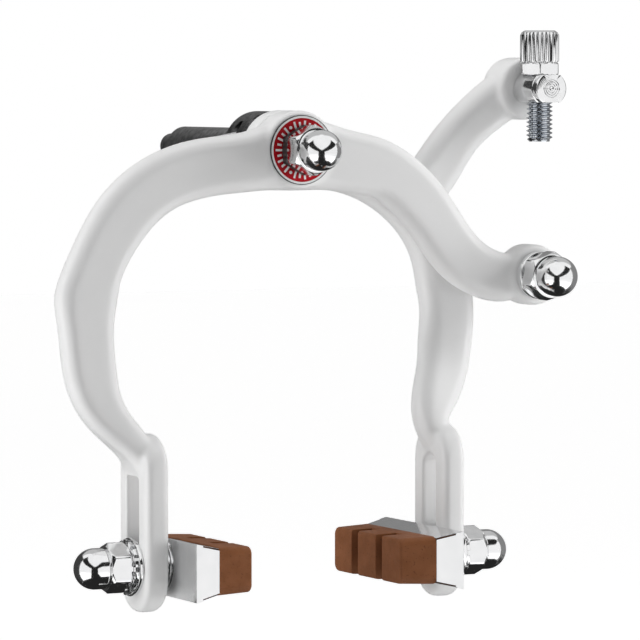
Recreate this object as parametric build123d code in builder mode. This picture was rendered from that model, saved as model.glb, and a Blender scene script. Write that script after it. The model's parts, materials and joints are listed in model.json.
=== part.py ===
from build123d import *
import os

os.makedirs("parts", exist_ok=True)

# Side-pull caliper brake with long reach, in millimetres.
# +X is to the right, +Z is up and the front is towards -Y. The origin lies on the centre bolt's
# axis, in the back face of the spring block. A depth is a distance forward of that face.

# Threads and nuts
THREAD_DIA = 6.0
THREAD_PLAY = 0.02
RUNNING_PLAY = 0.05
NUT_FLATS = 10.0
NUT_HEX_HEIGHT = 5.0
NUT_HEIGHT = 12.0
NUT_DOME_DIA = 9.2
NUT_ROOF = 2.2
NUT_EDGE_DROP = 0.7
FLATS_UPRIGHT = 30
FLATS_AT_ANCHOR = 20

# Centre bolt and what is stacked on it, from the back to the front
BOLT_TAIL_LENGTH = 48.0
BOLT_END_CHAMFER = 0.8
BOLT_SEAT_DIA = 7.0
BLOCK_DIA = 17.2
BLOCK_LENGTH = 10.0
BLOCK_EDGE = 0.8
REAR_WASHER_DIA = 13.0
REAR_WASHER_THICKNESS = 0.5
REAR_HUB_THICKNESS = 5.2
MIDDLE_WASHER_DIA = 12.0
MIDDLE_WASHER_THICKNESS = 0.4
FRONT_BAR_THICKNESS = 7.2
REAR_BAR_THICKNESS = 7.7
BADGE_DIA = 15.6
BADGE_THICKNESS = 0.5
ADJUSTING_NUT_THICKNESS = 2.5

# Return spring
WIRE_DIA = 2.3
WIRE_RISE = 5.4
WIRE_BEND_X = 15.4
WIRE_BEND_Z = 3.0
WIRE_BEND_RADIUS = 3.0
WIRE_HOLE_PLAY = 0.1
WIRE_HALF_BRIDGE = 4.5
WIRE_ARM_GAP = 0.5
PEG_DIA = 4.0
PEG_SINK = 3.0
PEG_GAP = 0.3
PEG_OVERHANG = 1.2
PEG_CHAMFER = 0.4
FRONT_PEG_X = 40.0
FRONT_PEG_DROP = 15.4
REAR_PEG_X = 36.4
REAR_PEG_DROP = 12.0

# Arms
HUB_DIA = 17.7
HUB_STEP = 0.3
BOSS_HEIGHT = 0.4
HUB_EDGE = 1.0
SPOT_FACE_DIA = 18.4
FORGING_RADIUS = 3.4
FORGING_SHARE = 0.46
EYE_EDGE = 1.4
CABLE_X = 60.3
ANCHOR_DROP = 29.2
STOP_RISE = 13.7
TAIL_EYE_DIA = 14.0
STOP_EYE_DIA = 14.4
STOP_EYE_LENGTH = 10.0

# Slotted feet of the arms
FOOT_GAP = 68.2
FOOT_THICKNESS = 5.8
FOOT_WIDTH = 16.0
FOOT_EDGE = 1.8
FOOT_SETBACK = 4.1
SHORT_REACH = 72.8
LONG_REACH = 94.0
SHOE_REACH = 92.5
FOOT_TOP_MARGIN = 10.0
FOOT_END_MARGIN = 8.7
SLOT_WIDTH = 6.5

# Cable anchor
PINCH_HOLE_DIA = 1.8
PINCH_HOLE_LIFT = 0.1
ANCHOR_HEAD_DIA = 10.0
ANCHOR_HEAD_HEIGHT = 2.6
CLAMP_WASHER_DIA = 11.0
CLAMP_WASHER_THICKNESS = 2.4
CLAMP_GROOVE_WIDTH = 2.0

# Cable stop and barrel
STOP_BAR_DIA = 8.0
STOP_FLATS = 6.3
STOP_STEM_DIA = 6.0
STOP_BARREL_SETBACK = 5.4
STOP_BARREL_COVER = 5.8
STOP_DISC_THICKNESS = 1.5
STOP_GROOVE_WIDTH = 0.9
STOP_GROOVE_DEPTH = 0.7
STOP_FACE_CHAMFER = 0.6
STOP_TAIL = 2.4
RING_DIA = 9.6
RING_THICKNESS = 0.8
RING_GROOVE_DEPTH = 0.5
LOCK_NUT_FLATS = 8.5
LOCK_NUT_HEIGHT = 2.8
KNOB_DIA = 9.0
KNOB_HEIGHT = 7.4
KNOB_CHAMFER = 1.0
KNOB_FOOT_CHAMFER = 0.35
FLUTE_COUNT = 26
FLUTE_DIA = 0.7
SHANK_EXPOSED = 9.0
SHANK_END_CHAMFER = 0.4
HOUSING_SOCKET_DIA = 5.2
HOUSING_SOCKET_DEPTH = 6.0
CABLE_BORE_DIA = 2.5

# Shoes
FLAT_WASHER_DIA = 13.0
FLAT_WASHER_THICKNESS = 1.0
LOCK_WASHER_DIA = 12.4
LOCK_WASHER_THICKNESS = 0.9
LOCK_TOOTH_COUNT = 14
LOCK_NOTCH_WIDTH = 1.1
LOCK_NOTCH_DEPTH = 1.0
INNER_WASHER_DIA = 12.0
INNER_WASHER_THICKNESS = 1.0
STUD_HEAD_DIA = 9.4
STUD_HEAD_THICKNESS = 1.6
STUD_IN_NUT = 8.6
HOLDER_LENGTH = 39.0
HOLDER_HEIGHT = 13.0
HOLDER_DEPTH = 6.2
HOLDER_TAPER = 1.4
SHEET_THICKNESS = 0.9
CORNER_SLIT = 0.5
RUBBER_PROUD = 8.6
RUBBER_BASE_LENGTH = 36.2
RUBBER_FACE_LENGTH = 33.6
RUBBER_BASE_HEIGHT = 10.8
RUBBER_FACE_HEIGHT = 10.2
RUBBER_CORNER = 1.8
RUBBER_EDGE = 0.7
CENTRE_LAND = 9.0
GROOVE_WIDTH = 3.2
GROOVE_DEPTH = 5.2

# Depths of the stack on the centre bolt
rear_hub_back = BLOCK_LENGTH + REAR_WASHER_THICKNESS
rear_arm_front = rear_hub_back + REAR_HUB_THICKNESS
rear_bar_front = rear_arm_front - HUB_STEP
rear_bar_back = rear_bar_front - REAR_BAR_THICKNESS
rear_bar_middle = (rear_bar_front + rear_bar_back) / 2
front_arm_back = rear_arm_front + MIDDLE_WASHER_THICKNESS
front_bar_back = front_arm_back + HUB_STEP
front_bar_front = front_bar_back + FRONT_BAR_THICKNESS
front_bar_middle = (front_bar_front + front_bar_back) / 2
boss_front = front_bar_front + BOSS_HEIGHT
badge_front = boss_front + BADGE_THICKNESS
pivot_nut_seat = badge_front + ADJUSTING_NUT_THICKNESS
nut_thread_depth = NUT_HEIGHT - NUT_ROOF
thread_radius = THREAD_DIA / 2
running_radius = thread_radius + RUNNING_PLAY
nut_radius = thread_radius + THREAD_PLAY

# Places of the feet, studs, cable anchor and cable stop
foot_inner = FOOT_GAP / 2
foot_outer = foot_inner + FOOT_THICKNESS
foot_middle = (foot_inner + foot_outer) / 2
foot_top = SHORT_REACH - FOOT_TOP_MARGIN
foot_end = LONG_REACH + FOOT_END_MARGIN
foot_depth = front_arm_back + FOOT_SETBACK
cable_depth = boss_front + PINCH_HOLE_DIA / 2 + PINCH_HOLE_LIFT
anchor_nut_seat = boss_front + CLAMP_WASHER_THICKNESS
stop_eye_front = cable_depth - STOP_BARREL_SETBACK
stop_eye_back = stop_eye_front - STOP_EYE_LENGTH
stop_front = cable_depth + STOP_BARREL_COVER
lock_nut_seat = STOP_RISE + STOP_FLATS / 2
knob_seat = lock_nut_seat + LOCK_NUT_HEIGHT
shank_end = STOP_RISE - STOP_FLATS / 2 - SHANK_EXPOSED

# Distances from the middle of the tyre gap to the faces of the shoe stack
nut_seat = foot_outer + FLAT_WASHER_THICKNESS + LOCK_WASHER_THICKNESS
holder_back = foot_inner - INNER_WASHER_THICKNESS
holder_floor = holder_back - SHEET_THICKNESS
holder_lip = holder_back - HOLDER_DEPTH
rubber_face = holder_lip - RUBBER_PROUD

# Centrelines of the arms, as rows of x, z, width, depth and thickness. In a leg, x and z are shares
# of the foot's distance from the middle and of its top's drop below the bolt. In the tail and the
# branch they are shares of the place of the eye. The depth is a share of the way from the hub's
# middle to that of the foot or the eye, and the thickness a multiple of the bar's.
FRONT_LEG = [
    (1.000, 1.190, 5.0, 1.0, 1.75),
    (1.030, 1.090, 6.4, 1.0, 1.65),
    (1.150, 1.000, 7.8, 0.9, 1.40),
    (1.268, 0.917, 9.8, 0.6, 1.15),
    (1.345, 0.800, 12.0, 0.2, 1.02),
    (1.378, 0.620, 12.9, 0.0, 1.00),
    (1.330, 0.425, 13.4, 0.0, 1.00),
    (1.200, 0.282, 13.4, 0.0, 1.00),
    (1.000, 0.155, 13.4, 0.0, 1.00),
    (0.783, 0.088, 13.3, 0.0, 1.00),
    (0.540, 0.057, 13.2, 0.0, 1.00),
    (0.350, 0.045, 13.4, 0.0, 1.00),
    (0.200, 0.030, 14.6, 0.0, 1.00),
]
FRONT_TAIL = [
    (0.140, 0.060, 15.0, 0.0, 1.00),
    (0.240, 0.100, 14.0, 0.0, 1.00),
    (0.340, 0.143, 13.5, 0.0, 1.00),
    (0.438, 0.245, 13.0, 0.0, 1.00),
    (0.544, 0.449, 12.8, 0.0, 1.00),
    (0.643, 0.719, 12.6, 0.0, 1.00),
    (0.735, 0.905, 12.2, 0.0, 1.00),
    (0.850, 1.010, 11.6, 0.0, 1.00),
    (0.930, 1.005, 11.0, 0.0, 1.00),
]
REAR_LEG = [
    (0.200, 0.028, 14.4, 0.0, 1.00),
    (0.420, 0.050, 13.4, 0.0, 1.00),
    (0.662, 0.100, 13.2, 0.0, 1.00),
    (0.883, 0.188, 13.2, 0.0, 1.00),
    (1.067, 0.328, 13.1, 0.0, 1.00),
    (1.151, 0.513, 13.1, 0.0, 1.00),
    (1.143, 0.675, 12.9, 0.16, 1.00),
    (1.083, 0.800, 12.4, 0.45, 1.00),
    (1.000, 0.900, 10.8, 0.72, 1.02),
    (0.950, 0.975, 8.4, 0.88, 1.05),
    (0.960, 1.035, 6.6, 0.95, 1.05),
    (1.000, 1.120, 4.6, 1.00, 1.05),
]
BRANCH = [
    (0.560, -0.980, 11.4, 0.0, 0.96),
    (0.610, -0.690, 11.4, 0.0, 0.98),
    (0.663, -0.400, 11.3, 0.0, 1.00),
    (0.718, -0.058, 10.9, 0.04, 1.00),
    (0.773, 0.248, 10.5, 0.15, 1.00),
    (0.841, 0.540, 10.7, 0.42, 1.02),
    (0.900, 0.760, 11.0, 0.75, 1.08),
    (0.945, 0.900, 10.8, 0.95, 1.10),
]
FRONT_HUB_ROW = (0.0, -0.9, 16.6, 0.0, 1.00)
REAR_HUB_ROW = (0.0, -0.4, 15.6, 0.0, 1.00)


def front_plane(depth, x=0.0, z=0.0):
    """Plane that faces the front at a depth, with its origin at x and z."""
    return Plane(origin=(x, -depth, z), x_dir=(1, 0, 0), z_dir=(0, -1, 0))


def side_plane(side, distance):
    """Plane through a shoe's stud that faces away from the tyre, on side -1 or 1."""
    return Plane(origin=(side * distance, -foot_depth, -SHOE_REACH), x_dir=(0, 1, 0), z_dir=(side, 0, 0))


def up_plane(height):
    """Plane on the barrel's axis that faces up."""
    return Plane(origin=(CABLE_X, -cable_depth, height), x_dir=(1, 0, 0), z_dir=(0, 0, 1))


def turning_plane(seat):
    """Plane through the normal of a seat, in which its turned profiles are drawn."""
    return Plane(origin=seat.origin, x_dir=seat.x_dir, z_dir=-seat.y_dir)


def leg_rows(rows, side):
    """Place the rows of a leg in millimetres, on side -1 or 1."""
    return [(side * x * foot_middle, -z * foot_top, *rest) for x, z, *rest in rows]


def eye_rows(rows, eye_z):
    """Place the rows of the tail or the branch in millimetres."""
    return [(x * CABLE_X, z * eye_z, *rest) for x, z, *rest in rows]


def bar_sections(rows, hub_middle, end_middle, bar_thickness):
    """Rounded sections of a forged bar, each square to the centreline through its rows."""
    sections = []
    for index, (x, z, width, share, swell) in enumerate(rows):
        before = rows[max(index - 1, 0)]
        after = rows[min(index + 1, len(rows) - 1)]
        depth = hub_middle + share * (end_middle - hub_middle)
        thickness = bar_thickness * swell
        along = (after[0] - before[0], 0, after[1] - before[1])
        corner = min(FORGING_RADIUS, FORGING_SHARE * width, FORGING_SHARE * thickness)
        with BuildSketch(Plane(origin=(x, -depth, z), x_dir=(0, 1, 0), z_dir=along)) as section:
            RectangleRounded(thickness, width, corner)
        sections.append(section.sketch)
    return sections


def make_cap_nut(seat, turn, play):
    """Acorn nut on a seat plane, with its hexagon turned by an angle."""
    dome_radius = NUT_DOME_DIA / 2
    dome_base = NUT_HEIGHT - dome_radius
    corner_radius = NUT_FLATS / 3 ** 0.5
    axis = Axis(seat.origin, seat.z_dir)
    with BuildPart() as nut:
        with BuildSketch(seat):
            RegularPolygon(NUT_FLATS / 2, 6, major_radius=False, rotation=turn)
        extrude(amount=NUT_HEX_HEIGHT)
        with BuildSketch(turning_plane(seat)):
            with BuildLine():
                Polyline(
                    (0, 0),
                    (NUT_FLATS / 2, 0),
                    (corner_radius, NUT_EDGE_DROP / 2),
                    (corner_radius, NUT_HEX_HEIGHT - NUT_EDGE_DROP),
                    (NUT_FLATS / 2, NUT_HEX_HEIGHT),
                    (0, NUT_HEX_HEIGHT),
                    close=True,
                )
            make_face()
        revolve(axis=axis, mode=Mode.INTERSECT)
        with BuildSketch(turning_plane(seat)):
            with BuildLine():
                Polyline((0, dome_base), (0, 0), (dome_radius, 0), (dome_radius, dome_base))
                CenterArc((0, dome_base), dome_radius, 0, 90)
                Line((0, NUT_HEIGHT), (0, dome_base))
            make_face()
        revolve(axis=axis)
        with BuildSketch(seat):
            Circle(thread_radius + play)
        extrude(amount=nut_thread_depth, mode=Mode.SUBTRACT)
    return nut


def make_washer(seat, outer_dia, thickness, play=RUNNING_PLAY):
    """Plain washer on a seat plane, for the common thread."""
    with BuildPart() as ring:
        with BuildSketch(seat):
            Circle(outer_dia / 2)
            Circle(thread_radius + play, mode=Mode.SUBTRACT)
        extrude(amount=thickness)
    return ring


def export_node(item, name):
    """Label a finished piece and write it to its own file."""
    item.part.label = name
    export_step(item.part, f"parts/{name}.step")


# Centre bolt: one rod, thicker where the spring block is pressed on it
bolt_tip = pivot_nut_seat + nut_thread_depth - BOLT_END_CHAMFER
with BuildPart() as pivot_bolt:
    with BuildSketch(front_plane(-BOLT_TAIL_LENGTH)):
        Circle(thread_radius)
    extrude(amount=BOLT_TAIL_LENGTH + bolt_tip)
    rod_ends = pivot_bolt.edges().filter_by(GeomType.CIRCLE)
    chamfer(rod_ends, BOLT_END_CHAMFER)
    with BuildSketch(front_plane(0)):
        Circle(BOLT_SEAT_DIA / 2)
    extrude(amount=BLOCK_LENGTH)
export_node(pivot_bolt, "pivot_bolt")

# Spring block: turned, with a cross hole for the wire above the bolt
wire_depth = BLOCK_LENGTH / 2
wire_bridge = [
    (-WIRE_BEND_X, -wire_depth, WIRE_BEND_Z),
    (-WIRE_HALF_BRIDGE, -wire_depth, WIRE_RISE),
    (WIRE_HALF_BRIDGE, -wire_depth, WIRE_RISE),
    (WIRE_BEND_X, -wire_depth, WIRE_BEND_Z),
]
with BuildPart() as spring_block:
    with BuildSketch(front_plane(0)):
        Circle(BLOCK_DIA / 2)
    extrude(amount=BLOCK_LENGTH)
    chamfer(spring_block.edges().filter_by(GeomType.CIRCLE), BLOCK_EDGE)
    with BuildSketch(front_plane(0)):
        Circle(BOLT_SEAT_DIA / 2)
    extrude(amount=BLOCK_LENGTH, mode=Mode.SUBTRACT)
    with BuildLine() as wire_channel:
        FilletPolyline(*wire_bridge, radius=WIRE_BEND_RADIUS)
    with BuildSketch(Plane(origin=wire_channel.line @ 0, z_dir=wire_channel.line % 0)):
        Circle(WIRE_DIA / 2 + WIRE_HOLE_PLAY)
    sweep(path=wire_channel.line, mode=Mode.SUBTRACT)
export_node(spring_block, "spring_block")

rear_washer = make_washer(front_plane(BLOCK_LENGTH), REAR_WASHER_DIA, REAR_WASHER_THICKNESS)
export_node(rear_washer, "rear_washer")

middle_washer = make_washer(front_plane(rear_arm_front), MIDDLE_WASHER_DIA, MIDDLE_WASHER_THICKNESS)
export_node(middle_washer, "middle_washer")

badge_washer = make_washer(front_plane(boss_front), BADGE_DIA, BADGE_THICKNESS)
export_node(badge_washer, "badge_washer")

with BuildPart() as adjusting_nut:
    with BuildSketch(front_plane(badge_front)):
        RegularPolygon(NUT_FLATS / 2, 6, major_radius=False, rotation=FLATS_UPRIGHT)
        Circle(nut_radius, mode=Mode.SUBTRACT)
    extrude(amount=ADJUSTING_NUT_THICKNESS)
export_node(adjusting_nut, "adjusting_nut")

pivot_cap_nut = make_cap_nut(front_plane(pivot_nut_seat), FLATS_UPRIGHT, THREAD_PLAY)
export_node(pivot_cap_nut, "pivot_cap_nut")


def foot_plane(side, distance):
    """Plane that faces away from the tyre at the middle of a foot's slot."""
    slot_middle = (LONG_REACH + SHORT_REACH) / 2
    return Plane(origin=(side * distance, -foot_depth, -slot_middle), x_dir=(0, 1, 0), z_dir=(side, 0, 0))


def make_foot(side):
    """Flat foot of an arm with rounded ends and edges, before its slot is cut."""
    foot_length = foot_end - foot_top
    foot_middle_z = (foot_end + foot_top) / 2
    seat = Plane(origin=(side * foot_inner, -foot_depth, -foot_middle_z), x_dir=(0, 1, 0), z_dir=(side, 0, 0))
    with BuildPart() as foot:
        with BuildSketch(seat):
            SlotOverall(foot_length, FOOT_WIDTH, rotation=90)
        extrude(amount=FOOT_THICKNESS)
        fillet(foot.edges().filter_by(Axis.X, reverse=True), FOOT_EDGE)
    return foot


def make_disc(depth, length, dia, edge, x=0.0, z=0.0):
    """Round boss of a forging with rounded edges, from a depth forward."""
    with BuildPart() as disc:
        with BuildSketch(front_plane(depth, x, z)):
            Circle(dia / 2)
        extrude(amount=length)
        fillet(disc.edges().filter_by(GeomType.CIRCLE), edge)
    return disc


slot_travel = LONG_REACH - SHORT_REACH
front_peg_place = (-FRONT_PEG_X, -FRONT_PEG_DROP)
rear_peg_place = (REAR_PEG_X, -REAR_PEG_DROP)

# Front arm: left leg, hub and the tail that carries the cable anchor
front_disc_length = boss_front - front_arm_back
front_rows = leg_rows(FRONT_LEG, -1) + [FRONT_HUB_ROW] + eye_rows(FRONT_TAIL, -ANCHOR_DROP)
front_foot = make_foot(-1)
front_hub = make_disc(front_arm_back, front_disc_length, HUB_DIA, HUB_EDGE)
tail_eye = make_disc(front_arm_back, front_disc_length, TAIL_EYE_DIA, EYE_EDGE, CABLE_X, -ANCHOR_DROP)
with BuildPart() as front_arm:
    loft(bar_sections(front_rows, front_bar_middle, foot_depth, FRONT_BAR_THICKNESS))
    add(front_foot.part)
    add(front_hub.part)
    add(tail_eye.part)
    with BuildSketch(front_plane(front_arm_back)):
        Circle(running_radius)
        with Locations((CABLE_X, -ANCHOR_DROP)):
            Circle(nut_radius)
    extrude(amount=front_disc_length, mode=Mode.SUBTRACT)
    with BuildSketch(front_plane(front_bar_back + PEG_SINK, *front_peg_place)):
        Circle(PEG_DIA / 2)
    extrude(amount=-2 * PEG_SINK, mode=Mode.SUBTRACT)
    with BuildSketch(foot_plane(-1, foot_inner)):
        SlotCenterToCenter(slot_travel, SLOT_WIDTH, rotation=90)
    extrude(amount=FOOT_THICKNESS, both=True, mode=Mode.SUBTRACT)
export_node(front_arm, "front_arm")

# Rear arm: hub, right leg and the branch that carries the cable stop
rear_rows = [REAR_HUB_ROW] + leg_rows(REAR_LEG, 1)
branch_rows = eye_rows(BRANCH, STOP_RISE)
stop_eye_middle = (stop_eye_front + stop_eye_back) / 2
rear_foot = make_foot(1)
rear_hub = make_disc(rear_hub_back, REAR_HUB_THICKNESS, HUB_DIA, HUB_EDGE)
stop_eye = make_disc(stop_eye_back, STOP_EYE_LENGTH, STOP_EYE_DIA, EYE_EDGE, CABLE_X, STOP_RISE)
with BuildPart() as rear_arm:
    loft(bar_sections(rear_rows, rear_bar_middle, foot_depth, REAR_BAR_THICKNESS))
    loft(bar_sections(branch_rows, rear_bar_middle, stop_eye_middle, REAR_BAR_THICKNESS))
    with BuildSketch(front_plane(0)):
        Circle(SPOT_FACE_DIA / 2)
    extrude(amount=rear_hub_back + HUB_STEP, mode=Mode.SUBTRACT)
    add(rear_hub.part)
    add(rear_foot.part)
    add(stop_eye.part)
    with BuildSketch(front_plane(rear_hub_back)):
        Circle(running_radius)
    extrude(amount=REAR_HUB_THICKNESS, mode=Mode.SUBTRACT)
    with BuildSketch(front_plane(stop_eye_back, CABLE_X, STOP_RISE)):
        Circle(STOP_STEM_DIA / 2 + RUNNING_PLAY)
    extrude(amount=STOP_EYE_LENGTH, mode=Mode.SUBTRACT)
    with BuildSketch(front_plane(rear_bar_back + PEG_SINK, *rear_peg_place)):
        Circle(PEG_DIA / 2)
    extrude(amount=-2 * PEG_SINK, mode=Mode.SUBTRACT)
    with BuildSketch(foot_plane(1, foot_inner)):
        SlotCenterToCenter(slot_travel, SLOT_WIDTH, rotation=90)
    extrude(amount=FOOT_THICKNESS, both=True, mode=Mode.SUBTRACT)
export_node(rear_arm, "rear_arm")

# Cable anchor on the tail of the front arm
anchor_plane = front_plane(front_arm_back, CABLE_X, -ANCHOR_DROP)
with BuildPart() as anchor_bolt:
    with BuildSketch(anchor_plane):
        Circle(ANCHOR_HEAD_DIA / 2)
    extrude(amount=-ANCHOR_HEAD_HEIGHT)
    head_rim = anchor_bolt.edges().sort_by(Axis.Y)[-1]
    fillet(head_rim, ANCHOR_HEAD_HEIGHT / 2)
    with BuildSketch(anchor_plane):
        Circle(thread_radius)
    extrude(amount=anchor_nut_seat + nut_thread_depth - BOLT_END_CHAMFER - front_arm_back)
    with BuildSketch(Plane.XY):
        with Locations((CABLE_X, -cable_depth)):
            Circle(PINCH_HOLE_DIA / 2)
    extrude(amount=-ANCHOR_DROP - THREAD_DIA, mode=Mode.SUBTRACT)
export_node(anchor_bolt, "anchor_bolt")

clamp_plane = front_plane(boss_front, CABLE_X, -ANCHOR_DROP)
with BuildPart() as clamp_washer:
    with BuildSketch(clamp_plane):
        Circle(CLAMP_WASHER_DIA / 2)
        Circle(running_radius, mode=Mode.SUBTRACT)
    extrude(amount=CLAMP_WASHER_THICKNESS)
    with BuildSketch(clamp_plane):
        Rectangle(CLAMP_GROOVE_WIDTH, CLAMP_WASHER_DIA)
    extrude(amount=PINCH_HOLE_DIA + PINCH_HOLE_LIFT, mode=Mode.SUBTRACT)
export_node(clamp_washer, "clamp_washer")

anchor_cap_nut = make_cap_nut(front_plane(anchor_nut_seat, CABLE_X, -ANCHOR_DROP), FLATS_AT_ANCHOR, THREAD_PLAY)
export_node(anchor_cap_nut, "anchor_cap_nut")

# Return spring: one wire through the block, and the peg that each end of it pushes on
wire_clearance = (WIRE_DIA + PEG_DIA) / 2 + PEG_GAP


def wire_end(peg, bend, depth):
    """Where the wire ends under a peg, given the bend that it comes from."""
    along = Vector(peg[0] - bend[0], peg[1] - bend[1]).normalized()
    outward = Vector(-along.Y, along.X)
    if outward.Y < 0:
        outward = outward * -1
    under = Vector(*peg) - outward * wire_clearance + along * PEG_OVERHANG
    return (under.X, -depth, under.Y)


front_wire_depth = front_arm_back - WIRE_DIA / 2 - WIRE_ARM_GAP
rear_wire_depth = rear_bar_back - WIRE_DIA / 2 - WIRE_ARM_GAP
with BuildPart() as return_spring:
    with BuildLine() as wire_path:
        FilletPolyline(
            wire_end(front_peg_place, (-WIRE_BEND_X, WIRE_BEND_Z), front_wire_depth),
            *wire_bridge,
            wire_end(rear_peg_place, (WIRE_BEND_X, WIRE_BEND_Z), rear_wire_depth),
            radius=WIRE_BEND_RADIUS,
        )
    wire_start = Plane(origin=wire_path.line @ 0, z_dir=wire_path.line % 0)
    with BuildSketch(wire_start):
        Circle(WIRE_DIA / 2)
    sweep(path=wire_path.line)
export_node(return_spring, "return_spring")


def make_peg(place, seat_depth, wire_depth_there):
    """Round peg set in the back of an arm, reaching back past the wire."""
    tip_depth = wire_depth_there - WIRE_DIA / 2 - PEG_OVERHANG
    with BuildPart() as peg:
        with BuildSketch(front_plane(tip_depth, *place)):
            Circle(PEG_DIA / 2)
        extrude(amount=seat_depth + PEG_SINK - tip_depth)
        chamfer(peg.edges().group_by(Axis.Y)[-1], PEG_CHAMFER)
    return peg


front_spring_peg = make_peg(front_peg_place, front_bar_back, front_wire_depth)
export_node(front_spring_peg, "front_spring_peg")

rear_spring_peg = make_peg(rear_peg_place, rear_bar_back, rear_wire_depth)
export_node(rear_spring_peg, "rear_spring_peg")

# Cable stop: a turned bar that swivels in the branch's eye, flattened above and below, with a
# ring behind the eye
stop_axis = Axis((CABLE_X, 0, STOP_RISE), (0, -1, 0))
stem_radius = STOP_STEM_DIA / 2
bar_radius = STOP_BAR_DIA / 2
ring_back = stop_eye_back - RING_THICKNESS
stem_end = ring_back - STOP_TAIL
with BuildPart() as cable_stop:
    with BuildSketch(front_plane(stop_eye_front, CABLE_X, STOP_RISE)):
        Circle(bar_radius)
    extrude(amount=stop_front - stop_eye_front)
    chamfer(cable_stop.faces().sort_by(Axis.Y)[0].edges(), STOP_FACE_CHAMFER)
    groove_front = stop_front - STOP_DISC_THICKNESS
    with BuildSketch(front_plane(groove_front, CABLE_X, STOP_RISE)):
        Circle(bar_radius + STOP_GROOVE_DEPTH)
        Circle(bar_radius - STOP_GROOVE_DEPTH, mode=Mode.SUBTRACT)
    extrude(amount=-STOP_GROOVE_WIDTH, mode=Mode.SUBTRACT)
    with BuildSketch(front_plane(stop_eye_front, CABLE_X, STOP_RISE)):
        Rectangle(3 * STOP_BAR_DIA, STOP_FLATS)
    extrude(amount=stop_front - stop_eye_front, mode=Mode.INTERSECT)
    with BuildSketch(front_plane(stem_end, CABLE_X, STOP_RISE)):
        Circle(stem_radius)
    extrude(amount=stop_eye_front - stem_end)
    with BuildSketch(front_plane(ring_back, CABLE_X, STOP_RISE)):
        Circle(stem_radius + RING_GROOVE_DEPTH)
        Circle(stem_radius - RING_GROOVE_DEPTH, mode=Mode.SUBTRACT)
    extrude(amount=RING_THICKNESS, mode=Mode.SUBTRACT)
    with BuildSketch(up_plane(STOP_RISE)):
        Circle(running_radius)
    extrude(amount=STOP_BAR_DIA, both=True, mode=Mode.SUBTRACT)
export_node(cable_stop, "cable_stop")

with BuildPart() as stop_retaining_ring:
    with BuildSketch(front_plane(ring_back, CABLE_X, STOP_RISE)):
        Circle(RING_DIA / 2)
        Circle(stem_radius - RING_GROOVE_DEPTH, mode=Mode.SUBTRACT)
        with Locations((0, -RING_DIA / 2)):
            Rectangle(STOP_STEM_DIA - 2 * RING_GROOVE_DEPTH, RING_DIA, mode=Mode.SUBTRACT)
    extrude(amount=RING_THICKNESS)
export_node(stop_retaining_ring, "stop_retaining_ring")

# Barrel adjuster: hollow screw with a fluted knob, and its lock nut
knob_top = knob_seat + KNOB_HEIGHT
barrel_length = knob_top - shank_end
with BuildPart() as barrel_adjuster:
    with BuildSketch(up_plane(knob_seat)):
        Circle(KNOB_DIA / 2)
        with PolarLocations(KNOB_DIA / 2, FLUTE_COUNT):
            Circle(FLUTE_DIA / 2, mode=Mode.SUBTRACT)
    extrude(amount=KNOB_HEIGHT)
    with BuildSketch(turning_plane(up_plane(knob_seat))):
        with BuildLine():
            Polyline(
                (0, 0),
                (KNOB_DIA / 2 - KNOB_FOOT_CHAMFER, 0),
                (KNOB_DIA / 2, KNOB_FOOT_CHAMFER),
                (KNOB_DIA / 2, KNOB_HEIGHT - KNOB_CHAMFER),
                (KNOB_DIA / 2 - KNOB_CHAMFER, KNOB_HEIGHT),
                (0, KNOB_HEIGHT),
                close=True,
            )
        make_face()
    revolve(axis=Axis(up_plane(knob_seat).origin, (0, 0, 1)), mode=Mode.INTERSECT)
    with BuildSketch(up_plane(shank_end)):
        Circle(thread_radius)
    extrude(amount=knob_seat - shank_end)
    chamfer(barrel_adjuster.faces().sort_by(Axis.Z)[0].edges(), SHANK_END_CHAMFER)
    with BuildSketch(up_plane(shank_end)):
        Circle(CABLE_BORE_DIA / 2)
    extrude(amount=barrel_length, mode=Mode.SUBTRACT)
    with BuildSketch(up_plane(knob_top)):
        Circle(HOUSING_SOCKET_DIA / 2)
    extrude(amount=-HOUSING_SOCKET_DEPTH, mode=Mode.SUBTRACT)
export_node(barrel_adjuster, "barrel_adjuster")

with BuildPart() as barrel_lock_nut:
    with BuildSketch(up_plane(lock_nut_seat)):
        RegularPolygon(LOCK_NUT_FLATS / 2, 6, major_radius=False, rotation=-90)
        Circle(running_radius, mode=Mode.SUBTRACT)
    extrude(amount=LOCK_NUT_HEIGHT)
export_node(barrel_lock_nut, "barrel_lock_nut")

# Shoes: the same stack on each foot, mirrored
flat_seat = foot_outer
lock_seat = foot_outer + FLAT_WASHER_THICKNESS
stud_tip = nut_seat + STUD_IN_NUT
lip_length = HOLDER_LENGTH - 2 * HOLDER_TAPER
lip_height = HOLDER_HEIGHT - 2 * HOLDER_TAPER


def make_lock_washer(seat):
    """Washer with teeth around its rim."""
    with BuildPart() as washer:
        with BuildSketch(seat):
            Circle(LOCK_WASHER_DIA / 2)
            Circle(running_radius, mode=Mode.SUBTRACT)
            with PolarLocations(LOCK_WASHER_DIA / 2, LOCK_TOOTH_COUNT):
                Rectangle(2 * LOCK_NOTCH_DEPTH, LOCK_NOTCH_WIDTH, mode=Mode.SUBTRACT)
        extrude(amount=LOCK_WASHER_THICKNESS)
    return washer


def make_stud(side):
    """Stud with a flat round head that lies inside the holder."""
    with BuildPart() as stud:
        with BuildSketch(side_plane(side, holder_floor - STUD_HEAD_THICKNESS)):
            Circle(STUD_HEAD_DIA / 2)
        extrude(amount=STUD_HEAD_THICKNESS)
        with BuildSketch(side_plane(side, holder_floor)):
            Circle(thread_radius)
        extrude(amount=stud_tip - holder_floor)
    return stud


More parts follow.
